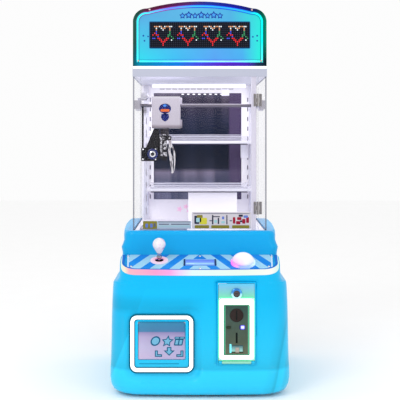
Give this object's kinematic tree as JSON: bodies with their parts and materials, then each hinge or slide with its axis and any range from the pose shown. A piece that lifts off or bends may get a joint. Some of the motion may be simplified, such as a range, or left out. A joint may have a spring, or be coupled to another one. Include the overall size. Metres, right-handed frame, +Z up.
{
  "type": "claw crane machine",
  "caption": "Compact claw crane cabinet with moulded base, sloped control panel, glazed play space, travelling claw and arched lit marquee.",
  "frame": {"origin": "bottom centre of the machine's box, on the floor", "axes": "+Z up, -Y the front with the control panel, +X to the right as seen from the front"},
  "size_m": [0.486, 0.544, 1.072],
  "materials": {
    "cyan_shell": "semi-gloss moulded",
    "white_metal": "satin powder coat",
    "steel": "plain",
    "black_metal": "satin",
    "black_plastic": "fine texture",
    "black_rubber": "matt",
    "chrome": "polished",
    "clear_acrylic": "polished",
    "dark_glass": "polished",
    "lit_diffuser": "translucent, lit",
    "lavender_acrylic": "translucent",
    "panel_print": "printed film",
    "acceptor_grey": "fine texture",
    "circuit_board": "solder mask",
    "marquee_print": "back-lit print",
    "screen_black": "LED matrix",
    "pearl_plastic": "translucent, lit"
  },
  "bodies": {
    "machine": {"base_shell": "cyan_shell", "collar_shell": "cyan_shell", "chassis_frame": "steel", "levelling_feet": "black_rubber", "prize_frame": "cyan_shell", "prize_light_ring": "lit_diffuser", "prize_chute": "steel", "hinge_pins": "steel", "coin_door_frame": "cyan_shell", "cash_box": "steel", "power_supply": "steel", "control_board": "circuit_board", "power_inlet": "black_plastic", "panel_plate": "panel_print", "panel_screws": "steel", "panel_light_strip": "lit_diffuser", "display_module": "black_plastic", "joystick_housing": "black_plastic", "button_rim": "pearl_plastic", "button_spring": "steel", "button_microswitch": "black_plastic", "deck": "white_metal", "fixed_glazing": "clear_acrylic", "frame_hinge_leaves": "steel", "rear_frame": "white_metal", "rear_glass": "dark_glass", "shelf_supports": "white_metal", "shelves": "white_metal", "light_post": "white_metal", "roof_box": "white_metal", "ceiling_panel": "white_metal", "marquee_housing": "white_metal", "marquee_bezel": "black_plastic", "marquee_light_ring": "lit_diffuser", "marquee_face": "marquee_print", "marquee_display": "screen_black", "gantry_rails": "steel"},
    "bridge": {"bridge_ends": "black_plastic", "bridge_rods": "steel"},
    "carriage": {"carriage_cover": "white_metal", "carriage_block": "steel", "lift_winch": "steel", "lift_coil": "black_rubber"},
    "claw": {"claw_frame": "black_metal", "claw_motor": "black_plastic"},
    "clip_finger": {"claw_finger": "chrome"},
    "gimbal": {"joystick_gimbal": "black_plastic"},
    "joystick": {"joystick_shaft": "chrome", "joystick_knob": "pearl_plastic"},
    "push_button": {"button_dome": "pearl_plastic"},
    "cabinet_door": {"front_door": "clear_acrylic", "door_hinge_leaves": "steel"},
    "flap": {"prize_flap": "lavender_acrylic"},
    "coin_door": {"coin_door_plate": "steel", "coin_light_frame": "lit_diffuser", "coin_acceptor": "acceptor_grey"},
    "return_button": {"coin_return_button": "acceptor_grey"},
    "return_flap": {"coin_return_flap": "acceptor_grey"},
    "lock": {"lock_cylinder": "chrome"},
    "service_door": {"rear_door": "black_metal"}
  },
  "joints": [
    {"name": "bridge_travel", "type": "slide", "parent": "machine", "child": "bridge", "axis": [0, 1, 0], "range_m": [0, 0.155]},
    {"name": "carriage_travel", "type": "slide", "parent": "bridge", "child": "carriage", "axis": [1, 0, 0], "range_m": [0, 0.19]},
    {"name": "claw_lift", "type": "slide", "parent": "carriage", "child": "claw", "axis": [0, 0, -1], "range_m": [0, 0.145], "deforming": ["lift_coil"]},
    {"name": "clip_finger_swing", "type": "hinge", "parent": "claw", "child": "clip_finger", "pos_m": [-0.086, -0.075, 0.692], "axis": [0, -1, 0], "range_deg": [0, 30]},
    {"name": "joystick_tilt_fore_aft", "type": "hinge", "parent": "machine", "child": "gimbal", "pos_m": [-0.11, -0.20258, 0.34247], "axis": [1, 0, 0], "range_deg": [-15, 15], "stiffness_Nm_per_rad": 0.8},
    {"name": "joystick_tilt_side", "type": "hinge", "parent": "gimbal", "child": "joystick", "pos_m": [-0.11, -0.20258, 0.34247], "axis": [0, 0.9536, 0.3011], "range_deg": [-15, 15], "stiffness_Nm_per_rad": 0.8},
    {"name": "button_press", "type": "slide", "parent": "machine", "child": "push_button", "axis": [0, 0.3011, -0.9536], "range_m": [0, 0.004], "stiffness_N_per_m": 600, "springref_m": -0.003, "deforming": ["button_spring"]},
    {"name": "front_door_swing", "type": "hinge", "parent": "machine", "child": "cabinet_door", "pos_m": [0.1615, -0.146, 0.65], "axis": [0, 0, 1], "range_deg": [0, 100]},
    {"name": "prize_flap_swing", "type": "hinge", "parent": "machine", "child": "flap", "pos_m": [-0.10175, -0.253, 0.2], "axis": [1, 0, 0], "range_deg": [0, 60]},
    {"name": "coin_door_swing", "type": "hinge", "parent": "machine", "child": "coin_door", "pos_m": [0.097, -0.261, 0.096], "axis": [1, 0, 0], "range_deg": [0, 90]},
    {"name": "coin_return_press", "type": "slide", "parent": "coin_door", "child": "return_button", "axis": [0, 1, 0], "range_m": [0, 0.0025], "stiffness_N_per_m": 300, "springref_m": -0.002},
    {"name": "coin_return_flap_swing", "type": "hinge", "parent": "coin_door", "child": "return_flap", "pos_m": [0.097, -0.2626, 0.1408], "axis": [1, 0, 0], "range_deg": [0, 50]},
    {"name": "lock_turn", "type": "hinge", "parent": "coin_door", "child": "lock", "pos_m": [0.097, -0.25, 0.279], "axis": [0, 1, 0], "range_deg": [0, 90]},
    {"name": "rear_door_swing", "type": "hinge", "parent": "machine", "child": "service_door", "pos_m": [-0.148, 0.2695, 0.197], "axis": [0, 0, 1], "range_deg": [0, 100]}
  ]
}
